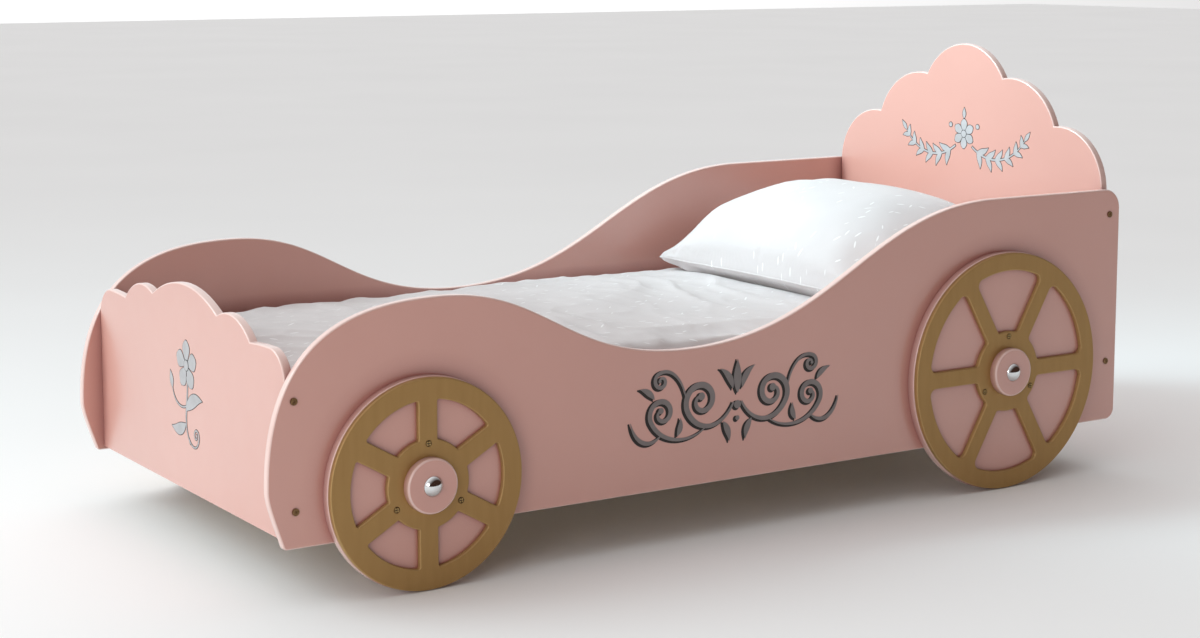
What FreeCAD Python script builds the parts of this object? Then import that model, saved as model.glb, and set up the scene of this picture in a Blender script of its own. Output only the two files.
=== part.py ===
import FreeCAD, Part
import math
import os

# A child's single bed shaped like a fairy-tale carriage.  Two lacquered side
# panels with a wavy top edge join a scalloped footboard and headboard.  The bed
# stands on four fixed wheels: each is a lacquered disc, a gold spoke plate and a
# hub disc under a chrome cap.  Inside lie a slatted base, a mattress, a duvet and
# a pillow.
#
# Frame: millimetres, +X from the foot to the head, +Z up, origin on the floor
# under the middle of the bed.  "left" is -Y, the bed's left when it drives
# towards its foot end.

Vector = FreeCAD.Vector
X_AXIS = Vector(1, 0, 0)
Y_AXIS = Vector(0, 1, 0)
Z_AXIS = Vector(0, 0, 1)

# ---------------------------------------------------------------- sizes

# mattress and the room around it
mattress_length = 2000.0
mattress_width = 900.0
mattress_thickness = 145.0
mattress_corner_radius = 35.0
mattress_end_play = 8.0
mattress_side_play = 18.0

# lacquered boards
board = 18.0
valley_round = 2.0

# side panels: heights above the floor, distances from the lower front corner
# or from the rear edge
panel_clearance = 112.0
footboard_inset = 14.0
headboard_inset = 23.0
nose_overhang = 31.0
nose_height = 221.0
hump_from_front = 321.0
hump_height = 550.0
dip_from_front = 889.0
dip_height = 394.0
shoulder_from_rear = 384.0
shoulder_height = 645.0
front_corner_radius = 8.0
top_corner_radius = 45.0
rear_corner_radius = 25.0

# how far each curve of the top edge keeps its direction, as a share of its span
nose_lean = 0.28
nose_under_fullness = 0.24
nose_rise_fullness = 0.92
hump_front_fullness = 0.42
hump_rear_fullness = 0.42
dip_front_fullness = 0.51
dip_rear_fullness = 0.46
shoulder_fullness = 0.43

# footboard: five scallops, given by the valleys between them; the outer valleys
# are measured from the board's ends and the inner ones from its middle
footboard_clearance = 120.0
foot_scallop_start = 407.0
foot_corner_radius = 64.0
foot_outer_valley_from_end = 151.0
foot_outer_valley_z = 467.0
foot_inner_valley_from_middle = 164.0
foot_inner_valley_z = 496.0
foot_middle_rise = 24.0
foot_centre_rise = 40.0

# headboard
headboard_clearance = 120.0
head_scallop_start = 638.0
head_corner_radius = 140.0
head_outer_valley_from_end = 157.0
head_outer_valley_z = 777.0
head_inner_valley_from_middle = 135.5
head_inner_valley_z = 880.0
head_middle_rise = 37.0
head_centre_rise = 78.0

# wheels
front_wheel_radius = 203.0
front_axle_from_front = 281.0
rear_wheel_radius = 264.0
rear_axle_from_rear = 360.0
plate_thickness = 10.0
plate_margin = 1.5
spoke_count = 6
front_spoke_width = 40.0
front_rim_width = 41.0
front_window_inner_radius = 86.0
front_spoke_turn = 30.0
rear_spoke_width = 36.0
rear_rim_width = 38.5
rear_window_inner_radius = 89.0
rear_window_outer_round = 15.0
rear_window_inner_chamfer = 6.0
rear_spoke_turn = 0.0
hub_radius = 53.0
hub_chamfer = 3.0
cap_radius = 20.0
cap_height = 11.0

# bolts through the panels into the ends of the boards
bolt_radius = 3.0
bolt_length = 60.0
bolt_tip_room = 2.0
bolt_head_radius = 7.0
bolt_head = 2.0
bolt_socket_width = 5.0
bolt_socket_depth = 1.4
front_bolt_low = 181.0
front_bolt_high = 384.0
rear_bolt_low = 249.0
rear_bolt_high = 588.0

# slatted base on two ledger rails
rail_height = 40.0
rail_thickness = 25.0
rail_end_gap = 30.0
rail_bottom = 144.0
slat_count = 14
slat_width = 70.0
slat_thickness = 18.0
bar_chamfer = 2.0
slat_end_play = 5.0
slat_row_gap = 24.0
tape_width = 25.0
tape_thickness = 1.6
tape_from_middle = 250.0

# bedding
duvet_side_play = 5.0
duvet_end_play = 6.0
duvet_edge = 38.0
duvet_crown = 76.0
duvet_under_pillow = 54.0
duvet_puff = 9.0
duvet_puff_count = 4
duvet_side_bulge = 2.0
pillow_width = 800.0
pillow_reach = 655.0
pillow_crown = 236.0
pillow_crown_from_head = 300.0
pillow_back_height = 95.0
pillow_front_height = 32.0
pillow_seam = 14.0
pillow_drawn_in = 22.0

# shapes of the bedding, as shares of the sizes above
duvet_shoulder_out = 0.78
duvet_shoulder_up = 0.58
duvet_foot_run = 0.3
duvet_foot_rise = 0.86
duvet_puff_above = 0.6
duvet_puff_below = 0.4
duvet_press_run = 0.35
pillow_rest_front = 0.14
pillow_rest_back = 0.1
pillow_front_bulge = (-0.05, 0.26)
pillow_back_bulge = (0.12, 0.18)
pillow_front_roll = (-0.1, -0.25)
pillow_back_roll = (0.06, -0.03)
pillow_crest_out = 0.62
pillow_crest_up = 0.93
pillow_crest_middle = 1.08
pillow_flank_out = 0.87
pillow_flank_up = 0.62

# clearances
drill_clearance = 0.1
soft_clearance = 0.3

# ---------------------------------------------------------------- places

inner_length = mattress_length + 2 * mattress_end_play
inner_half = mattress_width / 2 + mattress_side_play
outer_half = inner_half + board
panel_length = inner_length + 2 * board + footboard_inset + headboard_inset
overall_length = panel_length + nose_overhang
rear_x = overall_length / 2
front_x = rear_x - panel_length

foot_front_x = front_x + footboard_inset
foot_back_x = foot_front_x + board
head_back_x = rear_x - headboard_inset
head_front_x = head_back_x - board

rail_top = rail_bottom + rail_height
slat_top = rail_top + slat_thickness
mattress_bottom = slat_top + soft_clearance
duvet_bottom = mattress_bottom + mattress_thickness + soft_clearance
pillow_bottom = duvet_bottom + duvet_under_pillow + soft_clearance

SIDES = {"left": -1, "right": 1}
same_place = 0.001


# ---------------------------------------------------------------- helpers

def save(name, shape):
    shape.exportStep("parts/" + name + ".step")


def line(start, end):
    return Part.LineSegment(start, end).toShape()


def arc(start, middle, end):
    return Part.Arc(start, middle, end).toShape()


def bezier(poles):
    curve = Part.BezierCurve()
    curve.setPoles(poles)
    return curve.toShape()


def rod(radius, start, direction, length):
    return Part.makeCylinder(radius, length, start, direction)


def edges_square_to(solid, axis, place=None):
    """Edges that lie in planes square to the axis, optionally only those at one place on it."""
    found = []
    for edge in solid.Edges:
        middle = edge.valueAt((edge.FirstParameter + edge.LastParameter) / 2).dot(axis)
        reach = [vertex.Point.dot(axis) for vertex in edge.Vertexes] + [middle]
        if max(reach) - min(reach) > same_place:
            continue
        if place is None or abs(middle - place) < same_place:
            found.append(edge)
    return found


def edges_along(solid, axis, x=None, z=None):
    """Straight edges along the axis, optionally only those at one x and z."""
    found = []
    for edge in solid.Edges:
        if len(edge.Vertexes) != 2:
            continue
        span = edge.Vertexes[1].Point.sub(edge.Vertexes[0].Point)
        if span.cross(axis).Length > same_place:
            continue
        point = edge.Vertexes[0].Point
        if x is not None and abs(point.x - x) > same_place:
            continue
        if z is not None and abs(point.z - z) > same_place:
            continue
        found.append(edge)
    return found


# ---------------------------------------------------------------- side panels

def side_outline():
    """The panel's outline in the XZ plane, with sharp corners."""
    corner = Vector(front_x, 0, panel_clearance)
    nose = Vector(front_x - nose_overhang, 0, nose_height)
    hump = Vector(front_x + hump_from_front, 0, hump_height)
    dip = Vector(front_x + dip_from_front, 0, dip_height)
    shoulder = Vector(rear_x - shoulder_from_rear, 0, shoulder_height)
    top_rear = Vector(rear_x, 0, shoulder_height)
    low_rear = Vector(rear_x, 0, panel_clearance)

    under = nose_under_fullness * (nose.z - corner.z)
    lean = Vector(-nose_lean, 0, 1).normalize()
    rise = nose_rise_fullness * (hump.z - nose.z)
    front_run = hump.x - nose.x
    middle_run = dip.x - hump.x
    rear_run = shoulder.x - dip.x
    return [
        bezier([corner, corner + lean * under, nose - Z_AXIS * under, nose]),
        bezier([nose, nose + Z_AXIS * rise, hump - X_AXIS * hump_front_fullness * front_run, hump]),
        bezier([hump, hump + X_AXIS * hump_rear_fullness * middle_run,
                dip - X_AXIS * dip_front_fullness * middle_run, dip]),
        bezier([dip, dip + X_AXIS * dip_rear_fullness * rear_run,
                shoulder - X_AXIS * shoulder_fullness * rear_run, shoulder]),
        line(shoulder, top_rear),
        line(top_rear, low_rear),
        line(low_rear, corner),
    ]


def side_panel(sign):
    """One panel with the holes that its bolts pass through."""
    panel = Part.Face(Part.Wire(side_outline())).extrude(Y_AXIS * board)
    panel = panel.makeFillet(front_corner_radius, edges_along(panel, Y_AXIS, front_x, panel_clearance))
    panel = panel.makeFillet(top_corner_radius, edges_along(panel, Y_AXIS, rear_x, shoulder_height))
    panel = panel.makeFillet(rear_corner_radius, edges_along(panel, Y_AXIS, rear_x, panel_clearance))
    panel.translate(Vector(0, min(sign * inner_half, sign * outer_half), 0))
    holes = []
    for x, heights in BOLT_ROWS:
        for z in heights:
            mouth = Vector(x, sign * inner_half, z)
            holes.append(rod(bolt_radius + drill_clearance, mouth, Y_AXIS * sign, board))
    return panel.cut(holes)


# ---------------------------------------------------------------- scalloped boards

def bump(start, end, rise):
    """An arc from start to end that stands up from their chord by rise."""
    chord = end - start
    normal = Vector(0, -chord.z, chord.y).normalize()
    if normal.z < 0:
        normal = normal * -1
    return arc(start, (start + end) * 0.5 + normal * rise, end)


def shallow_arc(start, end):
    """An arc that leaves start level and falls or rises to end."""
    run = end.y - start.y
    fall = end.z - start.z
    middle = Vector(start.x, start.y + run / 2, start.z + fall / 4)
    return arc(start, middle, end)


def half_scallops(x, side, start_z, corner, outer, inner, middle_rise):
    """Edges from the board's side to the inner valley, on one side of the middle."""
    diagonal = corner * math.sqrt(0.5)
    foot = Vector(x, side * inner_half, start_z)
    turn = Vector(x, side * (inner_half - corner + diagonal), start_z + diagonal)
    crest = Vector(x, side * (inner_half - corner), start_z + corner)
    outer_valley = Vector(x, side * outer[0], outer[1])
    inner_valley = Vector(x, side * inner[0], inner[1])
    return [arc(foot, turn, crest), shallow_arc(crest, outer_valley),
            bump(outer_valley, inner_valley, middle_rise)]


def scalloped_board(x, bottom, start_z, corner, outer, inner, middle_rise, centre_rise, bolt_heights):
    """A board square to X from x to x + board, as wide as the room between the panels."""
    left = half_scallops(x, -1, start_z, corner, outer, inner, middle_rise)
    right = half_scallops(x, 1, start_z, corner, outer, inner, middle_rise)
    centre = bump(Vector(x, -inner[0], inner[1]), Vector(x, inner[0], inner[1]), centre_rise)
    low_left = Vector(x, -inner_half, bottom)
    low_right = Vector(x, inner_half, bottom)
    sides = [
        line(low_left, Vector(x, -inner_half, start_z)),
        line(Vector(x, inner_half, start_z), low_right),
        line(low_right, low_left),
    ]
    outline = Part.Wire(Part.__sortEdges__(left + right + [centre] + sides))
    plate = Part.Face(outline).extrude(X_AXIS * board)
    valleys = edges_along(plate, X_AXIS, z=outer[1]) + edges_along(plate, X_AXIS, z=inner[1])
    plate = plate.makeFillet(valley_round, valleys)
    depth = bolt_length - board + bolt_tip_room
    holes = []
    for sign in SIDES.values():
        for z in bolt_heights:
            mouth = Vector(x + board / 2, sign * inner_half, z)
            holes.append(rod(bolt_radius + drill_clearance, mouth, Y_AXIS * -sign, depth))
    return plate.cut(holes)


def footboard():
    return scalloped_board(foot_front_x, footboard_clearance, foot_scallop_start, foot_corner_radius,
                           (inner_half - foot_outer_valley_from_end, foot_outer_valley_z),
                           (foot_inner_valley_from_middle, foot_inner_valley_z),
                           foot_middle_rise, foot_centre_rise, (front_bolt_low, front_bolt_high))


def headboard():
    return scalloped_board(head_front_x, headboard_clearance, head_scallop_start, head_corner_radius,
                           (inner_half - head_outer_valley_from_end, head_outer_valley_z),
                           (head_inner_valley_from_middle, head_inner_valley_z),
                           head_middle_rise, head_centre_rise, (rear_bolt_low, rear_bolt_high))


# ---------------------------------------------------------------- joining hardware

def hex_socket(centre, direction):
    """The tool body of a hexagonal socket, its mouth at centre."""
    radius = bolt_socket_width / math.sqrt(3)
    points = []
    for corner in range(6):
        angle = math.radians(60 * corner)
        points.append(centre + Vector(radius * math.cos(angle), 0, radius * math.sin(angle)))
    face = Part.Face(Part.makePolygon(points + points[:1]))
    return face.extrude(direction * bolt_socket_depth)


def connecting_bolts(x, heights):
    """Socket-head bolts through both panels into the ends of one board."""
    bolts = []
    for sign in SIDES.values():
        inward = Y_AXIS * -sign
        for z in heights:
            seat = Vector(x, sign * outer_half, z)
            head = rod(bolt_head_radius, seat, -inward, bolt_head)
            bolt = head.fuse(rod(bolt_radius, seat, inward, bolt_length))
            bolts.append(bolt.cut(hex_socket(seat - inward * bolt_head, inward)))
    return Part.makeCompound(bolts)


# ---------------------------------------------------------------- wheels

def wheel_disc(wheel, sign):
    """The lacquered backing disc, flat on the side panel."""
    centre = Vector(wheel["x"], sign * outer_half, wheel["radius"])
    return rod(wheel["radius"], centre, Y_AXIS * sign, board)


def at_radius(edges, centre, radius):
    """The edges along Y that lie at one distance from the axle."""
    found = []
    for edge in edges:
        point = edge.Vertexes[0].Point
        if abs(math.hypot(point.x - centre.x, point.z - centre.z) - radius) < same_place:
            found.append(edge)
    return found


def windows(wheel, centre, outward):
    """The openings between the spokes, as tool bodies."""
    outer = wheel["radius"] - plate_margin - wheel["rim"]
    inner = wheel["inner"]
    ring = rod(outer, centre, outward, plate_thickness).cut(rod(inner, centre, outward, plate_thickness))
    corner = Vector(0, -plate_thickness, -wheel["spoke"] / 2)
    spokes = []
    for step in range(spoke_count):
        spoke = Part.makeBox(outer, 2 * plate_thickness, wheel["spoke"], centre + corner)
        spoke.rotate(centre, Y_AXIS, wheel["turn"] + 360.0 * step / spoke_count)
        spokes.append(spoke)
    openings = ring.cut(spokes).Solids
    if not wheel["soft_windows"]:
        return openings
    softened = []
    for opening in openings:
        outer_edges = at_radius(edges_along(opening, Y_AXIS), centre, outer)
        opening = opening.makeFillet(rear_window_outer_round, outer_edges)
        inner_edges = at_radius(edges_along(opening, Y_AXIS), centre, inner)
        softened.append(opening.makeChamfer(rear_window_inner_chamfer, inner_edges))
    return softened


def spoke_plate(wheel, sign):
    """The gold plate: a rim, six spokes and a nave behind the hub."""
    centre = Vector(wheel["x"], sign * (outer_half + board), wheel["radius"])
    outward = Y_AXIS * sign
    plate = rod(wheel["radius"] - plate_margin, centre, outward, plate_thickness)
    return plate.cut(windows(wheel, centre, outward))


def hub_disc(wheel, sign):
    """The lacquered hub on the spoke plate, its front edge chamfered."""
    centre = Vector(wheel["x"], sign * (outer_half + board + plate_thickness), wheel["radius"])
    hub = rod(hub_radius, centre, Y_AXIS * sign, board)
    return hub.makeChamfer(hub_chamfer, edges_square_to(hub, Y_AXIS, centre.y + sign * board))


def hub_cap(wheel, sign):
    """A chrome dome on the middle of the hub."""
    outward = Y_AXIS * sign
    seat = Vector(wheel["x"], sign * (outer_half + 2 * board + plate_thickness), wheel["radius"])
    ball_radius = (cap_radius ** 2 + cap_height ** 2) / (2 * cap_height)
    half_angle = math.asin(cap_radius / ball_radius) / 2
    drop = ball_radius * (1 - math.cos(half_angle))
    flank = seat + X_AXIS * (ball_radius * math.sin(half_angle)) + outward * (cap_height - drop)
    crown = seat + outward * cap_height
    rim = seat + X_AXIS * cap_radius
    profile = Part.Wire([arc(crown, flank, rim), line(rim, seat), line(seat, crown)])
    return Part.Face(profile).revolve(seat, Y_AXIS, 360)


def on_every_wheel(make):
    """The same piece on each of the four wheels, as a group."""
    return Part.makeCompound([make(wheel, sign) for wheel in WHEELS for sign in SIDES.values()])


# ---------------------------------------------------------------- slatted base

def eased_bar(length, width, height, corner, axis):
    """A straight bar with its four long edges chamfered."""
    bar = Part.makeBox(length, width, height, corner)
    return bar.makeChamfer(bar_chamfer, edges_along(bar, axis))


def ledger_rail(sign):
    length = inner_length - 2 * rail_end_gap
    low_y = min(sign * inner_half, sign * (inner_half - rail_thickness))
    corner = Vector(foot_back_x + rail_end_gap, low_y, rail_bottom)
    return eased_bar(length, rail_thickness, rail_height, corner, X_AXIS)


def slat_places():
    """Front edge x of every slat, evenly spaced over the inner length."""
    first = foot_back_x + slat_row_gap
    last = head_front_x - slat_row_gap - slat_width
    return [first + (last - first) * step / (slat_count - 1) for step in range(slat_count)]


def slat(x):
    length = 2 * (inner_half - slat_end_play)
    return eased_bar(slat_width, length, slat_thickness, Vector(x, -length / 2, rail_top), Y_AXIS)


def webbing_tape(sign):
    """A cotton tape stapled under the slats, which keeps their spacing."""
    places = slat_places()
    start = places[0] + slat_width * 0.3
    end = places[-1] + slat_width * 0.7
    corner = Vector(start, sign * tape_from_middle - tape_width / 2, rail_top - tape_thickness)
    return Part.makeBox(end - start, tape_width, tape_thickness, corner)


# ---------------------------------------------------------------- bedding

def mattress():
    """A foam mattress with rounded corners."""
    corner = Vector(foot_back_x + mattress_end_play, -mattress_width / 2, mattress_bottom)
    foam = Part.makeBox(mattress_length, mattress_width, mattress_thickness, corner)
    return foam.makeFillet(mattress_corner_radius, edges_along(foam, Z_AXIS))


def chain(points):
    """Arcs through a run of points: every second point is the middle of an arc."""
    return [arc(points[i], points[i + 1], points[i + 2]) for i in range(0, len(points) - 1, 2)]


def duvet_across():
    """The duvet's profile square to X: flat base, bulging sides, a crown between two valleys."""
    half = inner_half - duvet_side_play - duvet_side_bulge
    start = foot_back_x + duvet_end_play
    shoulder = (duvet_edge + duvet_crown) * duvet_shoulder_up
    valley = duvet_crown - duvet_puff

    def spot(y, height):
        return Vector(start, y, duvet_bottom + height)

    bulge_half = half + duvet_side_bulge
    points = [
        spot(-half, 0), spot(-bulge_half, duvet_edge / 2), spot(-half, duvet_edge),
        spot(-half * duvet_shoulder_out, shoulder), spot(-half / 2, valley),
        spot(0, duvet_crown + duvet_puff),
        spot(half / 2, valley), spot(half * duvet_shoulder_out, shoulder),
        spot(half, duvet_edge), spot(bulge_half, duvet_edge / 2), spot(half, 0),
    ]
    return Part.Wire(chain(points) + [line(points[-1], points[0])])


def duvet_along():
    """The duvet's profile square to Y: thin at the foot, a row of puffs, pressed down under the pillow."""
    start = foot_back_x + duvet_end_play
    end = head_front_x - duvet_end_play
    pressed = head_front_x - pillow_reach

    def spot(x, height):
        return Vector(x, -inner_half, duvet_bottom + height)

    run = (pressed - start) / (duvet_puff_count + 1)
    top_of_puff = duvet_crown + duvet_puff * duvet_puff_above
    seam_of_puff = duvet_crown - duvet_puff * duvet_puff_below
    points = [spot(start, 0), spot(start - duvet_side_bulge, duvet_edge / 2), spot(start, duvet_edge)]
    points.append(spot(start + run * duvet_foot_run, duvet_crown * duvet_foot_rise))
    points.append(spot(start + run, seam_of_puff))
    for step in range(1, duvet_puff_count):
        points.append(spot(start + run * (step + 0.5), top_of_puff))
        points.append(spot(start + run * (step + 1), seam_of_puff))
    points.append(spot(pressed - run * duvet_press_run, duvet_crown))
    points.append(spot(pressed, duvet_under_pillow))
    top = spot(end, duvet_under_pillow)
    foot = spot(end, 0)
    return Part.Wire(chain(points) + [line(points[-1], top), line(top, foot), line(foot, points[0])])


def duvet():
    """What both profiles enclose."""
    across = Part.Face(duvet_across()).extrude(X_AXIS * (inner_length - 2 * duvet_end_play))
    along = Part.Face(duvet_along()).extrude(Y_AXIS * (2 * inner_half))
    return across.common(along)


def pillow_front_seam():
    """The middle of the front seam."""
    return Vector(head_front_x - soft_clearance - pillow_reach, 0, pillow_bottom + pillow_front_height)


def pillow_slope():
    """The way up the pillow, from its front seam to its back edge."""
    return Vector(pillow_reach, 0, pillow_back_height - pillow_front_height).normalize()


def between(start, end, bulge):
    """The middle of two points, moved along X and up by shares of their difference in height."""
    height = abs(end.z - start.z)
    return (start + end) * 0.5 + Vector(bulge[0], 0, bulge[1]) * height


def pillow_side_profile():
    """Resting flat below, crowned above, its back edge against the headboard."""
    front = pillow_front_seam() - Y_AXIS * pillow_width
    back = front + Vector(pillow_reach, 0, pillow_back_height - pillow_front_height)
    crown = Vector(back.x - pillow_crown_from_head, front.y, pillow_bottom + pillow_crown)
    rest_front = Vector(front.x + pillow_reach * pillow_rest_front, front.y, pillow_bottom)
    rest_back = Vector(back.x - pillow_reach * pillow_rest_back, front.y, pillow_bottom)
    upper = [front, between(front, crown, pillow_front_bulge), crown,
             between(crown, back, pillow_back_bulge), back]
    lower = [back, between(back, rest_back, pillow_back_roll), rest_back]
    return Part.Wire(chain(upper) + chain(lower) + [line(rest_back, rest_front)]
                     + chain([rest_front, between(rest_front, front, pillow_front_roll), front]))


def pillow_front_profile():
    """Square to the slope: a thin seam at each side, full in the middle."""
    slope = pillow_slope()
    top = Vector(-slope.z, 0, slope.x)
    start = pillow_front_seam() - slope * pillow_reach
    half = pillow_width / 2
    seam = pillow_seam / 2
    rise = pillow_crown - (pillow_front_height + pillow_back_height) / 2

    def spot(share, height):
        return start + Y_AXIS * (share * half) + top * height

    crest = rise * pillow_crest_up
    flank = rise * pillow_flank_up
    upper = [spot(-1, seam), spot(-pillow_flank_out, flank), spot(-pillow_crest_out, crest),
             spot(0, rise * pillow_crest_middle),
             spot(pillow_crest_out, crest), spot(pillow_flank_out, flank), spot(1, seam)]
    right = [spot(1, -seam), spot(pillow_flank_out, -flank), spot(pillow_crest_out, -rise)]
    left = [spot(-pillow_crest_out, -rise), spot(-pillow_flank_out, -flank), spot(-1, -seam)]
    low_right = spot(pillow_crest_out, -2 * rise)
    low_left = spot(-pillow_crest_out, -2 * rise)
    return Part.Wire(chain(upper) + [line(upper[-1], right[0])] + chain(right)
                     + [line(right[-1], low_right), line(low_right, low_left), line(low_left, left[0])]
                     + chain(left) + [line(left[-1], upper[0])])


def pillow_plan():
    """Seen from above: the front and the sides drawn in between the corners."""
    half = pillow_width / 2
    back_x = head_front_x - soft_clearance
    front_x_pillow = back_x - pillow_reach
    middle_x = back_x - pillow_reach / 2
    front_left = Vector(front_x_pillow, -half, 0)
    front_right = Vector(front_x_pillow, half, 0)
    back_right = Vector(back_x, half, 0)
    back_left = Vector(back_x, -half, 0)
    return Part.Wire([
        arc(front_left, Vector(front_x_pillow + pillow_drawn_in, 0, 0), front_right),
        arc(front_right, Vector(middle_x, half - pillow_drawn_in, 0), back_right),
        line(back_right, back_left),
        arc(back_left, Vector(middle_x, -half + pillow_drawn_in, 0), front_left),
    ])


def pillow():
    """What the three profiles enclose."""
    side = Part.Face(pillow_side_profile()).extrude(Y_AXIS * (2 * pillow_width))
    lens = Part.Face(pillow_front_profile()).extrude(pillow_slope() * (3 * pillow_reach))
    plan = Part.Face(pillow_plan()).extrude(Z_AXIS * (head_centre_rise + head_inner_valley_z))
    return side.common(lens).common(plan)


# ---------------------------------------------------------------- assembly

BOLT_ROWS = [
    (foot_front_x + board / 2, (front_bolt_low, front_bolt_high)),
    (head_front_x + board / 2, (rear_bolt_low, rear_bolt_high)),
]

WHEELS = [
    {"name": "front", "x": front_x + front_axle_from_front, "radius": front_wheel_radius,
     "rim": front_rim_width, "inner": front_window_inner_radius, "spoke": front_spoke_width,
     "turn": front_spoke_turn, "soft_windows": False},
    {"name": "rear", "x": rear_x - rear_axle_from_rear, "radius": rear_wheel_radius,
     "rim": rear_rim_width, "inner": rear_window_inner_radius, "spoke": rear_spoke_width,
     "turn": rear_spoke_turn, "soft_windows": True},
]


def build():
    os.makedirs("parts", exist_ok=True)
    save("footboard", footboard())
    save("headboard", headboard())
    for side, sign in SIDES.items():
        save("side_panel_" + side, side_panel(sign))
        save("ledger_rail_" + side, ledger_rail(sign))
        save("webbing_tape_" + side, webbing_tape(sign))
        for wheel in WHEELS:
            name = wheel["name"] + "_" + side
            save("wheel_disc_" + name, wheel_disc(wheel, sign))
            save("spoke_plate_" + name, spoke_plate(wheel, sign))
    save("hub_discs", on_every_wheel(hub_disc))
    save("hub_caps", on_every_wheel(hub_cap))
    for end, (x, heights) in zip(("footboard", "headboard"), BOLT_ROWS):
        save(end + "_bolts", connecting_bolts(x, heights))
    for number, x in enumerate(slat_places(), 1):
        save("slat_%02d" % number, slat(x))
    save("mattress", mattress())
    save("duvet", duvet())
    save("pillow", pillow())


build()
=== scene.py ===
import bmesh
import bpy
import math
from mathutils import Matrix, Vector, noise
from mathutils.bvhtree import BVHTree
from mathutils.geometry import tessellate_polygon


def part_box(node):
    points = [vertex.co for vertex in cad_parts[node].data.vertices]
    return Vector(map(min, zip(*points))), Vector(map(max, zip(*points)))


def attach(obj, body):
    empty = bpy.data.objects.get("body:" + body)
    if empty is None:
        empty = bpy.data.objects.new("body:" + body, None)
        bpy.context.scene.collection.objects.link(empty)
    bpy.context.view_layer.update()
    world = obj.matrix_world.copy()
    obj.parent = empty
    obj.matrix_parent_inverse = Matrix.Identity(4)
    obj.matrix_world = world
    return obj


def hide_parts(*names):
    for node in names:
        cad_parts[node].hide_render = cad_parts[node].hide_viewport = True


# A child's bed shaped like a fairy-tale carriage, dressed for rendering.
# Metres, +X from the foot to the head, +Z up; "left" is -Y.

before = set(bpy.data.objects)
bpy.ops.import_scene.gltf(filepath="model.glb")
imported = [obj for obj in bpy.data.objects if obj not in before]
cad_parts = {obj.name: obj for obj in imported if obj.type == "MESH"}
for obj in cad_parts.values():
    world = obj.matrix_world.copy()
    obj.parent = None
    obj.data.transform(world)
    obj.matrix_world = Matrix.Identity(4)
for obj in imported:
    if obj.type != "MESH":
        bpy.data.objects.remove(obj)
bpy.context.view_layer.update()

# ---- sizes

SIDES = {"left": -1, "right": 1}
X, Y, Z = Vector((1, 0, 0)), Vector((0, 1, 0)), Vector((0, 0, 1))

# rounded rims of the lacquered boards
BOARD_RIM = 0.0032
END_RIM_SHARE = 0.25
BACK_RIM = 0.0005
RIM_STEPS = 5
RIM_SUPPORT = 0.0006

# what counts as one point, as on a board's end, and as no triangle
SAME_POINT = 1e-6
ON_EDGE = 1e-4
NO_AREA = 1e-14

# side panel outline: heights, and distances from the front or the rear edge
NOSE_OVERHANG = 0.031
NOSE_HEIGHT = 0.221
HUMP_FROM_FRONT = 0.321
HUMP_HEIGHT = 0.550
DIP_FROM_FRONT = 0.889
DIP_HEIGHT = 0.394
SHOULDER_FROM_REAR = 0.384
SHOULDER_HEIGHT = 0.645
FRONT_CORNER_RADIUS = 0.008
TOP_CORNER_RADIUS = 0.045
REAR_CORNER_RADIUS = 0.025
NOSE_LEAN = 0.28
NOSE_UNDER_FULLNESS = 0.24
NOSE_RISE_FULLNESS = 0.92
HUMP_FRONT_FULLNESS = 0.42
HUMP_REAR_FULLNESS = 0.42
DIP_FRONT_FULLNESS = 0.51
DIP_REAR_FULLNESS = 0.46
SHOULDER_FULLNESS = 0.43

# scalloped boards: start of the corner, its radius, valleys as (y, z), rises
VALLEY_ROUND = 0.002
FOOT_SCALLOPS = {"start": 0.407, "corner": 0.064, "outer": (0.317, 0.467), "inner": (0.164, 0.496),
                 "middle_rise": 0.024, "centre_rise": 0.040}
HEAD_SCALLOPS = {"start": 0.638, "corner": 0.140, "outer": (0.311, 0.777), "inner": (0.1355, 0.880),
                 "middle_rise": 0.037, "centre_rise": 0.078}

# wheels
WHEELS = {
    "front": {"rim": 0.041, "inner": 0.086, "spoke": 0.040, "turn": 30.0,
              "outer_round": 0.004, "inner_round": 0.003},
    "rear": {"rim": 0.0385, "inner": 0.089, "spoke": 0.036, "turn": 0.0,
             "outer_round": 0.015, "inner_round": 0.009},
}
SPOKE_COUNT = 6
PLATE_RIM = 0.0026
HUB_RIM = 0.0045
HUB_RADIUS = 0.053
CAP_RADIUS = 0.020
WHEEL_POINTS = 320

# screws, tape staples, and the bevels of what keeps its CAD mesh
SCREW_CIRCLE = 0.078
SCREW_ANGLES = (90, 210, 330)
SCREW_RADIUS = 0.0050
SCREW_HEIGHT = 0.0014
SCREW_ROUND = 0.0006
CROSS_REACH = 0.0034
CROSS_WIDTH = 0.0012
SINK_WIDTH = 0.0012
SINK_GAP = 0.0001
SINK_HEIGHT = 0.0006
RECESS_SHADE_RADIUS = 0.0042
THIN = 0.0003
FINE_RIM = 0.0001
RAIL_SCREW_RADIUS = 0.0042
RAIL_SCREWS = 6
STAPLE_PLACES = (0.32, 0.68)
STAPLE_CROWN = 0.011
STAPLE_WIRE = 0.0011
STAPLE_HEIGHT = 0.0006
BOLT_BEVEL = 0.0004
PINE_BEVEL = 0.0008

# painted ornaments: centres as (x, z) on the panel and (y, z) on the end boards
PAINT_LOW = 0.0003
PAINT_HIGH = 0.0006
PAINT_STEP = 0.000004
CURL_TIGHTENING = 0.78
SHADE_MARGIN = 0.0016
OUTLINE_MARGIN = 0.0014
FLOURISH_CENTRE = (-0.019, 0.279)
FLOURISH_SHADE = (0.0050, 0.0020)
SPRAY_CENTRE = (-0.010, 0.322)
GARLAND_CENTRE = (-0.004, 0.728)

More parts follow.
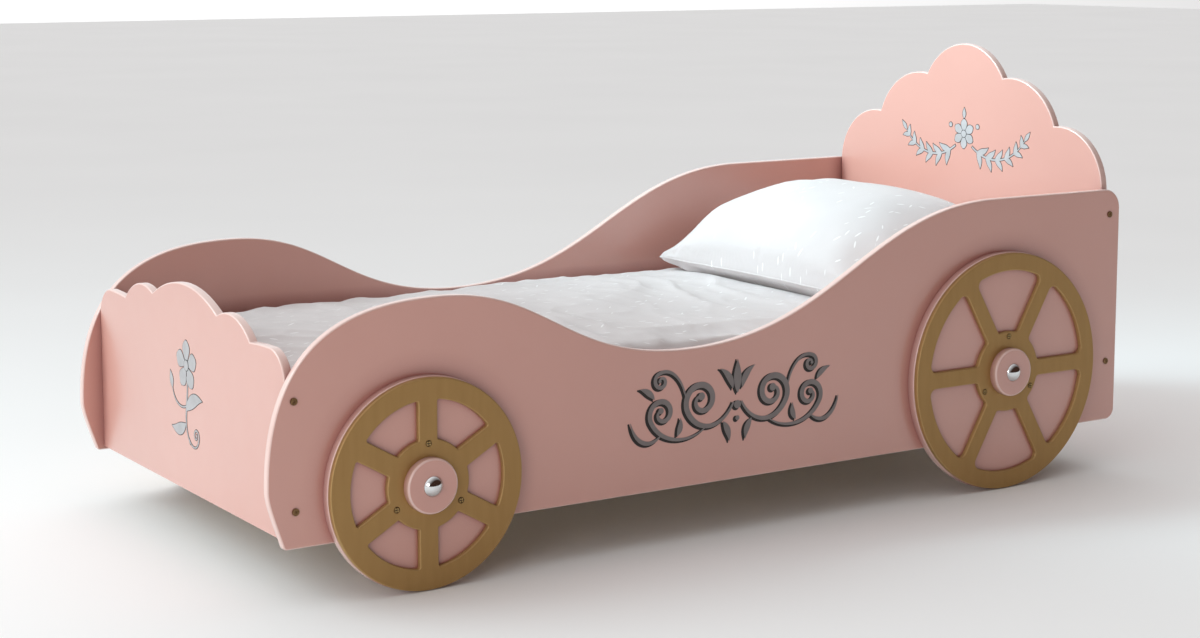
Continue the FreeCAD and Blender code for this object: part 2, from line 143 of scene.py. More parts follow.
# bedding: gaps to what lies around, borders, and how the covers are filled
BEDDING_GAP = 0.001
PRESS_GAP = 0.004
EDGE_ZONE = 0.03
SIMULATED_FRAMES = 20
DUVET_INSET = 0.004
DUVET_EDGE = 0.034
DUVET_CROWN = 0.060
DUVET_ARCH = 0.9
DUVET_SLOPE = 0.085
DUVET_TURN = 0.030
DUVET_FOOT_RUN = 0.16
DUVET_FOOT_SHARE = 0.35
DUVET_ROOM_ABOVE = 0.012
DUVET_FILLING = {"voxel": 0.009, "pressure": 2.5, "growth": 0.030, "reach": 0.008}
DUVET_SEAM = 0.0013
FOLD_FREE_BORDER = 0.05
PUFF_HEIGHT = 0.009
RIDGE_HEIGHT = 0.009
CREASE_HEIGHT = 0.0034
GATHER_HEIGHT = 0.004
GATHER_START = 0.26
GATHER_RUN = 0.16
PRESS_START = 0.02
PRESS_RUN = 0.12
PRESS_HALF_WIDTH = 0.43
PRESS_SIDE_RUN = 0.07
PILLOW_INSET = 0.007
PILLOW_PULL = 0.022
PILLOW_FRONT_SEAM = 0.031
PILLOW_BACK_SEAM = 0.062
PILLOW_TOP_GAP = 0.008
PILLOW_CROWN_FROM_BACK = 0.360
PILLOW_EAR = 0.16
PILLOW_FRONT_TURN = 0.10
PILLOW_BACK_TURN = 0.07
PILLOW_RIPPLE = 0.007
PILLOW_TUCK = 0.004
PILLOW_TUCK_RUN = 0.06
PILLOW_ROOM_ABOVE = 0.004
PILLOW_FILLING = {"voxel": 0.006, "pressure": 3.0, "growth": 0.022, "reach": 0.009}
PILLOW_SEAM = 0.0015

# mattress and the tapes of the slatted base
MATTRESS_INSET = 0.004
MATTRESS_CORNER = 0.045
BAND_INSET = 0.001
BAND_RIM = 0.004
PANEL_DEPTH = 0.022
PANEL_TURN = 0.024
PANEL_SINK = 0.003
PANEL_SINK_RUN = 0.01
PIPING_RADIUS = 0.0028
QUILT_PITCH = 0.150
QUILT_DEPTH = 0.006
QUILT_SEAM_WIDTH = 0.016
HANDLE_PLACES = (-0.55, 0.55)
HANDLE_LENGTH = 0.18
HANDLE_WIDTH = 0.026
HANDLE_SLACK = 0.0022
HANDLE_FACES = (0.0002, 0.0014)
HANDLE_STEPS = 40
TAPE_STEPS = 560
TAPE_SAG = 0.0016
TAPE_SAG_RUN = 0.02


# ---- flat outlines

def ray(angle):
    return Vector((math.cos(angle), math.sin(angle)))


def left_of(direction):
    return Vector((-direction.y, direction.x))


def circle_run(centre, radius, first, last, count):
    """Points round a centre, from one angle to another."""
    return [centre + radius * ray(first + (last - first) * step / count) for step in range(count + 1)]


def circle_points(radius, count):
    return circle_run(Vector((0, 0)), radius, 0, 2 * math.pi, count)[:-1]


def arc_points(start, middle, end, count):
    """Points on the circle through three points, from start to end."""
    a, b, c = Vector(start), Vector(middle), Vector(end)
    cross = 2 * ((b - a).cross(c - a))
    ab, ac = (b - a).length_squared, (c - a).length_squared
    centre = a + Vector(((c - a).y * ab - (b - a).y * ac, (b - a).x * ac - (c - a).x * ab)) / cross
    first = math.atan2((a - centre).y, (a - centre).x)
    last = math.atan2((c - centre).y, (c - centre).x)
    if cross > 0 and last < first:
        last += 2 * math.pi
    if cross < 0 and last > first:
        last -= 2 * math.pi
    return circle_run(centre, (a - centre).length, first, last, count)


def bezier_points(controls, count):
    start, pull, push, end = [Vector(point) for point in controls]
    points = []
    for step in range(count + 1):
        t = step / count
        u = 1 - t
        points.append(u ** 3 * start + 3 * u * u * t * pull + 3 * u * t * t * push + t ** 3 * end)
    return points


def join(*runs):
    """One closed loop from runs of points, without the points that neighbours share."""
    loop = []
    for run in runs:
        for point in run:
            if not loop or (point - loop[-1]).length > SAME_POINT:
                loop.append(point)
    if (loop[0] - loop[-1]).length < SAME_POINT:
        loop.pop()
    return loop


def counter_clockwise(loop):
    area = sum(loop[i - 1].cross(loop[i]) for i in range(len(loop)))
    return loop if area > 0 else loop[::-1]


def soften(loop, corners, steps):
    """The loop with each named corner, a (point, radius) pair, replaced by an arc."""
    for corner, radius in corners:
        count = len(loop)
        index = min(range(count), key=lambda i: (loop[i] - corner).length)
        corner = loop[index]
        into = (corner - loop[index - 1]).normalized()
        out = (loop[(index + 1) % count] - corner).normalized()
        half_turn = abs(into.angle(out)) / 2
        reach = radius * math.tan(half_turn)
        middle = corner + (out - into).normalized() * (radius / math.cos(half_turn) - radius)
        others = [loop[(index + step) % count] for step in range(1, count)]
        kept = [point for point in others if (point - corner).length > reach * 1.02]
        loop = kept + arc_points(corner - into * reach, middle, corner + out * reach, steps)
    return loop


def offset(loop, distances):
    """The loop moved to its left, each point by its own distance, corners mitred."""
    count = len(loop)
    moved = []
    for i in range(count):
        into = (loop[i] - loop[i - 1]).normalized()
        out = (loop[(i + 1) % count] - loop[i]).normalized()
        moved.append(loop[i] + left_of(into + out) * (distances[i] / (1 + into.dot(out))))
    return moved


# ---- meshes

def new_object(name, verts, faces, smooth=True):
    mesh = bpy.data.meshes.new(name)
    mesh.from_pydata(verts, [], faces)
    mesh.validate()
    mesh.shade_smooth() if smooth else mesh.shade_flat()
    piece = bpy.data.objects.new(name, mesh)
    bpy.context.scene.collection.objects.link(piece)
    return piece


def closed_piece(name, verts, faces, smooth=True):
    """A new object without unused points, whose faces all look outwards."""
    piece = new_object(name, verts, faces, smooth)
    mesh = bmesh.new()
    mesh.from_mesh(piece.data)
    bmesh.ops.delete(mesh, geom=[v for v in mesh.verts if not v.link_faces], context="VERTS")
    bmesh.ops.recalc_face_normals(mesh, faces=mesh.faces)
    mesh.to_mesh(piece.data)
    mesh.free()
    return piece


def rim_layers(back_rim, front_rim):
    """A board's rings from back to front: the nearer face, how far inwards, how far below that face."""
    angles = [math.pi / 2 * step / RIM_STEPS for step in range(RIM_STEPS + 1)]
    layers = [("back", back_rim * (1 - math.sin(a)), back_rim * (1 - math.cos(a))) for a in angles]
    layers += [("front", front_rim * (1 - math.cos(a)), front_rim * (1 - math.sin(a))) for a in angles]
    return [("back", back_rim + RIM_SUPPORT, 0.0), *layers, ("front", front_rim + RIM_SUPPORT, 0.0)]


def plate(name, outer, holes, place, thickness, front_rim, back_rim=None, softness=None):
    """A flat board with rounded rims.  place(u, v, w) puts a point of the outline at depth w."""
    loops = [counter_clockwise(outer)] + [counter_clockwise(hole)[::-1] for hole in holes]
    shares = [[softness(point) if softness else 1.0 for point in loop] for loop in loops]
    layers = rim_layers(front_rim if back_rim is None else back_rim, front_rim)
    verts = []
    rim = []
    flats = []
    for side, inset, depth in layers:
        rings = [offset(loop, [inset * part for part in share]) for loop, share in zip(loops, shares)]
        flats.append(rings)
        for ring, share in zip(rings, shares):
            for point, part in zip(ring, share):
                w = depth * part if side == "back" else thickness - depth * part
                verts.append(place(point.x, point.y, w))
                rim.append(1.0 if depth > 0 else 0.0)
    size = sum(len(loop) for loop in loops)
    faces = []
    for level in range(len(layers) - 1):
        start = level * size
        for loop in loops:
            for i in range(len(loop)):
                j = (i + 1) % len(loop)
                faces.append((start + i, start + j, start + size + j, start + size + i))
            start += len(loop)
    for base, rings, turn in ((0, flats[0], -1), (len(verts) - size, flats[-1], 1)):
        flat = [point for ring in rings for point in ring]
        for a, b, c in tessellate_polygon([[point.to_3d() for point in ring] for ring in rings]):
            area = turn * (flat[b] - flat[a]).cross(flat[c] - flat[a])
            if area < 0:
                b, c = c, b
            if abs(area) >= NO_AREA:
                faces.append((base + a, base + b, base + c))
    piece = closed_piece(name, verts, faces)
    # the rim attribute marks the rounded rims, where the lacquers paint a highlight
    layer = piece.data.attributes.new("rim", "FLOAT", "POINT")
    layer.data.foreach_set("value", rim)
    return piece


def lathe(name, profile, place, count=96):
    """A closed turned piece: profile points are (radius, height), from the axis back to the axis."""
    verts = []
    rings = []
    for radius, height in profile:
        steps = count if radius > SAME_POINT else 1
        rings.append(range(len(verts), len(verts) + steps))
        for point in circle_points(radius, steps):
            verts.append(place(point.x, point.y, height))
    faces = []
    for low, high in zip(rings, rings[1:]):
        for i in range(count):
            j = i + 1
            corners = (low[i % len(low)], low[j % len(low)], high[j % len(high)], high[i % len(high)])
            faces.append(list(dict.fromkeys(corners)))
    return closed_piece(name, verts, faces)


def seat(origin, right, up, out):
    """Places outline points on a face: u to its right, v up, w out of it."""
    return lambda u, v, w: Vector(origin) + right * u + up * v + out * w


def outward(side, origin):
    """A seat on one side of the bed: u along X, v up, w away from the bed."""
    return seat(origin, X, Z, Y * SIDES[side])


def faces_of(cad, side):
    """The y of a CAD piece's face towards the middle of the bed, and of its face away from it."""
    low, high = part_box(cad)
    return (high.y, low.y) if SIDES[side] < 0 else (low.y, high.y)


def finish_piece(piece, body, finish, cad=None):
    piece.data.materials.append(finish)
    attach(piece, body)
    if cad:
        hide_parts(cad)


# ---- materials

class Nodes:
    """Adds shader nodes to a tree.  An input is given by value or by a socket to link."""

    def __init__(self, tree):
        self.tree = tree

    def add(self, kind, inputs=None, **settings):
        made = self.tree.nodes.new("ShaderNode" + kind)
        for key, value in settings.items():
            setattr(made, key, value)
        for key, value in (inputs or {}).items():
            if isinstance(value, bpy.types.NodeSocket):
                self.tree.links.new(value, made.inputs[key])
            else:
                made.inputs[key].default_value = value
        return made

    def vector(self, operation, *values):
        return self.add("VectorMath", dict(enumerate(values)), operation=operation)

    def ranged(self, value, low, high, start=0.0, stop=1.0):
        return self.add("MapRange", {"Value": value, "From Min": start, "From Max": stop,
                                     "To Min": low, "To Max": high}).outputs[0]

    def ramp(self, value, *stops):
        """A colour ramp from (position, colour) stops."""
        made = self.add("ValToRGB", {"Fac": value})
        elements = made.color_ramp.elements
        while len(elements) < len(stops):
            elements.new(0.5)
        for element, (position, colour) in zip(elements, stops):
            element.position = position
            element.color = (*colour, 1.0)
        return made.outputs["Color"]


class Finish(Nodes):
    """A material under construction: its node tree, Principled shader and object coordinates."""

    def __init__(self, name, **shader_inputs):
        self.made = bpy.data.materials.new(name)
        self.made.use_nodes = True
        super().__init__(self.made.node_tree)
        self.shader = self.tree.nodes["Principled BSDF"]
        for key, value in shader_inputs.items():
            self.shader.inputs[key.replace("_", " ")].default_value = value
        self.place = self.add("TexCoord").outputs["Object"]

    def cloud(self, scale, detail=2.0, stretch=None):
        place = self.place
        if stretch is not None:
            place = self.add("Mapping", {"Vector": place, "Scale": stretch}).outputs[0]
        return self.add("TexNoise", {"Vector": place, "Scale": scale, "Detail": detail}).outputs[0]

    def mixed(self, factor, first, second):
        return self.add("Mix", {0: factor, 6: first, 7: (*second, 1.0)}, data_type="RGBA").outputs[2]

    def painted_rim_highlight(self, share, tone, colour):
        """The tone, mixed towards a lighter colour on the rounded rims: a painted highlight."""
        rim = self.add("Attribute", attribute_name="rim").outputs["Fac"]
        return self.mixed(self.ranged(rim, 0.0, share), tone, colour)

    def bumped(self, height, distance, strength=1.0, normal=None):
        inputs = {"Height": height, "Distance": distance, "Strength": strength}
        if normal is not None:
            inputs["Normal"] = normal
        return self.add("Bump", inputs).outputs[0]

    def weave(self, pitch):
        """The height of a plain weave: warp and weft waves that pass over and under each other."""
        waves = []
        for direction, phase in (("X", 0.0), ("Y", math.pi)):
            waves.append(self.add("TexWave", {"Vector": self.place, "Scale": 0.314 / pitch,
                                              "Distortion": 0.5, "Detail": 1.0, "Phase Offset": phase},
                                  bands_direction=direction).outputs["Fac"])
        return self.add("Math", {0: waves[0], 1: waves[1]}, operation="MULTIPLY").outputs[0]

    def done(self, **sockets):
        """The material, with these sockets linked to its shader."""
        for key, socket in sockets.items():
            self.tree.links.new(socket, self.shader.inputs[key.replace("_", " ")])
        return self.made


def pink_lacquer():
    """Satin sprayed lacquer on board: faint cloudiness, orange peel, a painted highlight over the rounded
    rims (a little of it the lacquer lying thinner there), and painted shade where other parts stand close.
    """
    look = Finish("pink_lacquer", Coat_Weight=1.0, Coat_Roughness=0.25, Coat_IOR=1.6,
                  Specular_IOR_Level=0.7)
    tone = look.ramp(look.cloud(2.6, 3.0), (0.3, (0.645, 0.322, 0.265)), (0.7, (0.675, 0.342, 0.283)))
    # painted highlight: the rounded rims mixed towards pale pink, mostly for light, partly for thinner
    # lacquer
    tone = look.painted_rim_highlight(0.55, tone, (0.90, 0.72, 0.67))
    # painted shade: darker maroon where other parts stand close, as round the wheels
    recess = look.add("AmbientOcclusion", {"Distance": 0.05}, samples=8).outputs["AO"]
    tone = look.mixed(look.ranged(recess, 0.85, 0.0, 0.35, 0.95), tone, (0.30, 0.075, 0.065))
    return look.done(Base_Color=tone, Roughness=look.ranged(look.cloud(22.0, 4.0), 0.34, 0.46),
                     Normal=look.bumped(look.cloud(420.0), 0.00006))


def gold_lacquer():
    """Matt gold paint with fine metal flakes, and a painted highlight on its rims."""
    look = Finish("gold_lacquer", Metallic=0.45)
    flake = look.cloud(1500.0, 1.0)
    streak = look.cloud(60.0, 3.0, (1.0, 1.0, 0.15))
    tone = look.ramp(streak, (0.25, (0.368, 0.208, 0.068)), (0.75, (0.418, 0.246, 0.084)))
    tone = look.mixed(look.ranged(flake, 0.0, 0.35, 0.35, 0.75), tone, (0.46, 0.31, 0.12))
    # painted highlight: the rounded rims mixed towards a paler gold
    tone = look.painted_rim_highlight(0.3, tone, (0.62, 0.43, 0.20))
    return look.done(Base_Color=tone, Roughness=look.ranged(streak, 0.40, 0.52),
                     Normal=look.bumped(flake, 0.00005))


def chrome():
    """Polished plating with faint polishing marks."""
    look = Finish("chrome_plate", Metallic=1.0)
    mark = look.cloud(90.0, 3.0, (1.0, 1.0, 4.0))
    tone = look.ramp(mark, (0.3, (0.70, 0.71, 0.72)), (0.8, (0.80, 0.81, 0.82)))
    return look.done(Base_Color=tone, Roughness=look.ranged(mark, 0.05, 0.13))


def metal(name, dark, light, rough_low, rough_high):
    """A cast or turned metal with a cloudy patina and fine scratches."""
    look = Finish(name, Metallic=1.0)
    patina = look.cloud(240.0, 4.0)
    scratch = look.cloud(900.0, 2.0, (1.0, 1.0, 0.1))
    return look.done(Base_Color=look.ramp(patina, (0.3, dark), (0.75, light)),
                     Roughness=look.ranged(patina, rough_low, rough_high),
                     Normal=look.bumped(scratch, 0.00004))


def bare_pine():
    """Planed softwood: long grain, a few darker rings, fine pores."""
    look = Finish("bare_pine")
    along = look.add("Mapping", {"Vector": look.place, "Scale": (9.0, 0.7, 9.0)}).outputs[0]
    wave = look.add("TexWave", {"Vector": along, "Scale": 2.2, "Distortion": 5.0, "Detail": 3.0,
                                "Detail Scale": 1.4}).outputs["Fac"]
    tone = look.ramp(wave, (0.0, (0.62, 0.43, 0.24)), (0.7, (0.74, 0.56, 0.35)), (1.0, (0.78, 0.61, 0.40)))
    tone = look.mixed(look.ranged(look.cloud(3.0, 3.0), 0.0, 0.35), tone, (0.66, 0.47, 0.27))
    pore = look.cloud(260.0, 3.0, (1.0, 0.06, 1.0))
    return look.done(Base_Color=tone, Roughness=look.ranged(pore, 0.5, 0.72),
                     Normal=look.bumped(pore, 0.00025))


def printed_cotton():
    """Pale grey bed linen with short light dashes scattered at all angles."""
    look = Finish("printed_cotton", Sheen_Weight=0.25, Sheen_Roughness=0.5, Roughness=0.9)
    ground = look.ramp(look.cloud(5.0, 3.0), (0.3, (0.640, 0.597, 0.597)), (0.7, (0.690, 0.647, 0.647)))
    cell = look.add("TexVoronoi", {"Vector": look.place, "Scale": 27.0, "Randomness": 1.0})
    in_cell = look.vector("SUBTRACT", look.place, cell.outputs["Position"]).outputs[0]
    angle = look.ranged(look.add("SeparateColor", {0: cell.outputs["Color"]}).outputs[0], -0.9, 0.9)
    turned = look.add("VectorRotate", {"Vector": in_cell, "Angle": angle}, rotation_type="Z_AXIS")
    shaped = look.vector("MULTIPLY", turned.outputs[0], (110.0, 520.0, 90.0)).outputs[0]
    reach = look.vector("LENGTH", shaped).outputs["Value"]
    tone = look.mixed(look.ranged(reach, 0.85, 0.0, 0.85, 1.15), ground, (0.90, 0.89, 0.89))
    crumple = look.bumped(look.cloud(55.0, 4.0), 0.0012, 0.5)
    return look.done(Base_Color=tone, Normal=look.bumped(look.weave(0.0006), 0.00012, 0.6, crumple))


def knitted_cover():
    """White mattress ticking with a small quilted relief."""
    look = Finish("mattress_cover", Roughness=0.9, Sheen_Weight=0.2)
    tone = look.ramp(look.cloud(8.0), (0.3, (0.76, 0.75, 0.72)), (0.7, (0.83, 0.82, 0.79)))
    cell = look.add("TexVoronoi", {"Vector": look.place, "Scale": 42.0, "Randomness": 0.15},
                    feature="SMOOTH_F1").outputs["Distance"]
    relief = look.bumped(cell, 0.003, 0.5)
    return look.done(Base_Color=tone, Normal=look.bumped(look.weave(0.0009), 0.0002, 0.6, relief))


def cotton_tape():
    """Herringbone webbing in natural cotton."""
    look = Finish("cotton_tape", Roughness=0.92)
    wave = look.add("TexWave", {"Vector": look.place, "Scale": 70.0, "Distortion": 0.6},
                    bands_direction="DIAGONAL").outputs["Fac"]
    tone = look.ramp(wave, (0.0, (0.62, 0.58, 0.49)), (1.0, (0.76, 0.72, 0.63)))
    return look.done(Base_Color=tone, Normal=look.bumped(wave, 0.0004, 0.7))


def paint(name, dark, light, metallic):
    """A thin printed coat, faintly uneven."""
    look = Finish(name, Metallic=metallic)
    grain = look.cloud(700.0)
    return look.done(Base_Color=look.ramp(look.cloud(38.0, 3.0), (0.3, dark), (0.7, light)),
                     Roughness=look.ranged(grain, 0.42, 0.58), Normal=look.bumped(grain, 0.00004))


PINK = pink_lacquer()
GOLD = gold_lacquer()
CHROME = chrome()
BRONZE = metal("bronzed_steel", (0.13, 0.075, 0.035), (0.33, 0.20, 0.10), 0.30, 0.5)
BRASS = metal("brass_screw", (0.40, 0.26, 0.10), (0.62, 0.44, 0.20), 0.25, 0.42)
PINE = bare_pine()
LINEN = printed_cotton()
TICKING = knitted_cover()
TAPE = cotton_tape()
BLACK_PAINT = paint("black_paint", (0.010, 0.007, 0.006), (0.018, 0.013, 0.012), 0.0)
GREY_PAINT = paint("grey_paint", (0.205, 0.180, 0.178), (0.245, 0.218, 0.215), 0.1)
SILVER_PAINT = paint("silver_paint", (0.420, 0.415, 0.425), (0.500, 0.495, 0.510), 0.15)


# ---- lacquered boards

def side_outline(low, high):
    """The side panel's outline as (x, z), from its box."""
    front = low.x + NOSE_OVERHANG
    rear = high.x
    corner = Vector((front, low.z))
    nose = Vector((low.x, NOSE_HEIGHT))
    hump = Vector((front + HUMP_FROM_FRONT, HUMP_HEIGHT))
    dip = Vector((front + DIP_FROM_FRONT, DIP_HEIGHT))
    shoulder = Vector((rear - SHOULDER_FROM_REAR, SHOULDER_HEIGHT))
    top_rear = Vector((rear, SHOULDER_HEIGHT))
    low_rear = Vector((rear, low.z))
    under = NOSE_UNDER_FULLNESS * (nose.y - corner.y)
    lean = Vector((-NOSE_LEAN, 1)).normalized()
    rise = NOSE_RISE_FULLNESS * (hump.y - nose.y)

    def wave(start, end, leave, arrive, count):
        """A curve that is level at both ends; the fullnesses are shares of its run."""
        run = Vector((end.x - start.x, 0))
        return bezier_points((start, start + run * leave, end - run * arrive, end), count)

    front_reach = HUMP_FRONT_FULLNESS * (hump.x - nose.x)
    loop = join(
        bezier_points((corner, corner + lean * under, nose - Vector((0, under)), nose), 40),
        bezier_points((nose, nose + Vector((0, rise)), hump - Vector((front_reach, 0)), hump), 100),
        wave(hump, dip, HUMP_REAR_FULLNESS, DIP_FRONT_FULLNESS, 110),
        wave(dip, shoulder, DIP_REAR_FULLNESS, SHOULDER_FULLNESS, 120),
        [top_rear, low_rear],
    )
    return soften(loop, [(corner, FRONT_CORNER_RADIUS), (top_rear, TOP_CORNER_RADIUS),
                         (low_rear, REAR_CORNER_RADIUS)], 14)


def side_panels():
    for side in SIDES:
        cad = "side_panel_" + side
        low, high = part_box(cad)
        place = outward(side, (0, faces_of(cad, side)[0], 0))
        panel = plate(side + "_panel", side_outline(low, high), [], place, high.y - low.y, BOARD_RIM)
        finish_piece(panel, "root", PINK, cad)


def bump(start, end, rise, count=48):
    """An arc that stands up from its chord."""
    normal = left_of(end - start).normalized()
    if normal.y < 0:
        normal = -normal
    return arc_points(start, (start + end) / 2 + normal * rise, end, count)


def scallop_outline(low, high, sizes):
    """A scalloped board's outline as (y, z), from its box."""
    half = high.y
    start = sizes["start"]
    corner = sizes["corner"]
    diagonal = corner * math.sqrt(0.5)
    runs = {}
    inners = {}
    valleys = []
    for side in (1, -1):
        foot = Vector((side * half, start))
        turn = Vector((side * (half - corner + diagonal), start + diagonal))
        crest = Vector((side * (half - corner), start + corner))
        outer = Vector((side * sizes["outer"][0], sizes["outer"][1]))
        inner = Vector((side * sizes["inner"][0], sizes["inner"][1]))
        middle = Vector((crest.x + (outer.x - crest.x) / 2, crest.y + (outer.y - crest.y) / 4))
        runs[side] = (arc_points(foot, turn, crest, 32) + arc_points(crest, middle, outer, 24)
                      + bump(outer, inner, sizes["middle_rise"]))
        inners[side] = inner
        valleys += [(outer, VALLEY_ROUND), (inner, VALLEY_ROUND)]
    centre = bump(inners[1], inners[-1], sizes["centre_rise"], 72)
    loop = join([Vector((half, low.z))], runs[1], centre, runs[-1][::-1], [Vector((-half, low.z))])
    return soften(loop, valleys, 6)


def scalloped_boards():
    for cad, sizes in (("footboard", FOOT_SCALLOPS), ("headboard", HEAD_SCALLOPS)):
        low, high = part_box(cad)

        def softness(point):
            butt_end = abs(abs(point.x) - high.y) < ON_EDGE and point.y < sizes["start"]
            return END_RIM_SHARE if butt_end else 1.0

        board = plate(cad + "_panel", scallop_outline(low, high, sizes), [], seat((low.x, 0, 0), Y, Z, X),
                      high.x - low.x, BOARD_RIM, softness=softness)
        finish_piece(board, "root", PINK, cad)


# ---- wheels

def window(sizes, outer, number):
    """One opening between two spokes, around the wheel's centre."""
    inner = sizes["inner"]
    gap = 2 * math.pi / SPOKE_COUNT
    start_angle = math.radians(sizes["turn"]) + gap * number
    outer_turn = math.asin(sizes["spoke"] / 2 / outer)
    inner_turn = math.asin(sizes["spoke"] / 2 / inner)
    hub = Vector((0, 0))
    outside = circle_run(hub, outer, start_angle + outer_turn, start_angle + gap - outer_turn, 36)
    inside = circle_run(hub, inner, start_angle + gap - inner_turn, start_angle + inner_turn, 20)
    corners = [(outside[0], sizes["outer_round"]), (outside[-1], sizes["outer_round"]),
               (inside[0], sizes["inner_round"]), (inside[-1], sizes["inner_round"])]
    return soften(join(outside, inside), corners, 7)


def cross_loop():
    """The outline of a cross recess."""
    half = CROSS_WIDTH / 2
    loop = []
    for turn in range(4):
        for u, v in ((CROSS_REACH, half), (half, half), (half, CROSS_REACH)):
            for _ in range(turn):
                u, v = -v, u
            loop.append(Vector((u, v)))
    return loop


def screw(name, place, radius):
    """A small brass cross-head screw in a shallow countersink. The countersink is a dark bronze ring, and a
    black disc lies under the cross recess: both painted shade.
    """
    edge, hole = [circle_points(radius + SINK_GAP + width, 40) for width in (SINK_WIDTH, 0)]
    # the sink ring and the recess disc are painted shade, dark where the countersink and the cross recess
    # would lie in shade
    for suffix, outer, holes, height, rim, finish in (
            ("_sink", edge, [hole], SINK_HEIGHT, THIN, BRONZE),
            ("", circle_points(radius, 40), [cross_loop()], SCREW_HEIGHT, SCREW_ROUND, BRASS),
            ("_recess", circle_points(RECESS_SHADE_RADIUS, 24), [], THIN, FINE_RIM, BLACK_PAINT)):
        layer = plate(name + suffix, outer, holes, place, height, rim, FINE_RIM)
        finish_piece(layer, "root", finish)


def dome_profile(radius, height, steps=20):
    """A pressed cap: flat base, a short rolled edge, then a dome."""
    ball = (radius ** 2 + height ** 2) / (2 * height)
    half_angle = math.asin(radius / ball)
    points = [(0, 0), (radius * 0.97, 0)]
    for step in range(steps + 1):
        angle = half_angle * (1 - step / steps)
        points.append((ball * math.sin(angle), height - ball * (1 - math.cos(angle))))
    return points


def wheel(end, side, sizes):
    """Backing disc, spoke plate with three screws, hub disc and cap, each on the face of the one before."""
    tag = end + "_" + side
    low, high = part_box("wheel_disc_" + tag)
    middle = (low + high) / 2
    disc_back, disc_face = faces_of("wheel_disc_" + tag, side)
    plate_back, plate_face = faces_of("spoke_plate_" + tag, side)
    hub_face = faces_of("hub_discs", side)[1]
    cap_face = faces_of("hub_caps", side)[1]

    def on(y, off=Vector((0, 0))):
        """A seat on the face at y, off the wheel's centre."""
        return outward(side, (middle.x + off.x, y, middle.z + off.y))

    disc = plate(tag + "_disc", circle_points((high.x - low.x) / 2, WHEEL_POINTS), [], on(disc_back),
                 abs(disc_face - disc_back), BOARD_RIM, BACK_RIM)
    finish_piece(disc, "root", PINK, "wheel_disc_" + tag)

    low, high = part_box("spoke_plate_" + tag)
    radius = (high.x - low.x) / 2
    openings = [window(sizes, radius - sizes["rim"], i) for i in range(SPOKE_COUNT)]
    spokes = plate(tag + "_spokes", circle_points(radius, WHEEL_POINTS), openings, on(plate_back),
                   abs(plate_face - plate_back), PLATE_RIM, BACK_RIM)
    finish_piece(spokes, "root", GOLD, "spoke_plate_" + tag)
    for number, degrees in enumerate(SCREW_ANGLES, 1):
        place = on(plate_face, SCREW_CIRCLE * ray(math.radians(degrees)))
        screw(f"{tag}_screw_{number}", place, SCREW_RADIUS)

    hub = plate(tag + "_hub", circle_points(HUB_RADIUS, 160), [], on(plate_face),
                abs(hub_face - plate_face), HUB_RIM, BACK_RIM)
    finish_piece(hub, "root", PINK, "hub_discs")
    cap = lathe(tag + "_cap", dome_profile(CAP_RADIUS, abs(cap_face - hub_face)), on(hub_face))
    finish_piece(cap, "root", CHROME, "hub_caps")


# ---- painted ornaments: lists of strokes, each a line with a width at each point

def stroke(line, start, middle, end):
    """A stroke along a line, whose width runs from start through middle to end."""
    pull = 2 * middle - (start + end) / 2
    shares = [i / (len(line) - 1) for i in range(len(line))]
    return line, [(1 - t) ** 2 * start + 2 * t * (1 - t) * pull + t * t * end for t in shares]


def curl(start, heading, radius, turns, count=72):
    """A spiral that leaves start along heading and tightens; turns run counter-clockwise if positive."""
    sign = 1 if turns > 0 else -1
    heading = heading.normalized()
    centre = start + sign * left_of(heading) * radius
    first = math.atan2(start.y - centre.y, start.x - centre.x)
    points = []
    for step in range(count + 1):
        t = step / count
        angle = first + 2 * math.pi * turns * t
        points.append(centre + radius * (1 - CURL_TIGHTENING * t) * ray(angle))
    return points


def dot(centre, radius):
    return [Vector(centre)], [radius]


def leaf(base, tip, width, bend):
    """A pointed leaf whose midrib bows to the left of the way to its tip."""
    base = Vector(base)
    tip = Vector(tip)
    along = tip - base
    side = left_of(along) * bend
    line = bezier_points((base, base + along / 3 + side, base + along * 2 / 3 + side, tip), 28)
    return line, [width * math.sin(math.pi * (i / 28) ** 0.85) for i in range(29)]


def scroll(stem, radius, turns, widths):
    """A stroke along a curved stem that ends in a curl with a round tip."""
    line = bezier_points(stem, 40)
    line += curl(line[-1], Vector(stem[3]) - Vector(stem[2]), radius, turns)[1:]
    return [stroke(line, *widths), dot(line[-1], radius * 0.20)]


def tendril(stem, *widths):
    return stroke(bezier_points(stem, 40), *widths)


def rosette(centre, petals, length, width, turn):
    """Petals round a centre."""
    shares = [step / 24 for step in range(25)]
    widths = [width * math.sin(math.pi * (0.06 + 0.90 * t ** 1.5)) ** 0.8 for t in shares]
    strokes = []
    for i in range(petals):
        petal = ray(math.radians(turn) + 2 * math.pi * i / petals) * length
        strokes.append(([Vector(centre) + petal * (0.12 + 0.88 * t) for t in shares], widths))
    return strokes


def mirrored(strokes):
    return [([Vector((-point.x, point.y)) for point in line], widths) for line, widths in strokes]


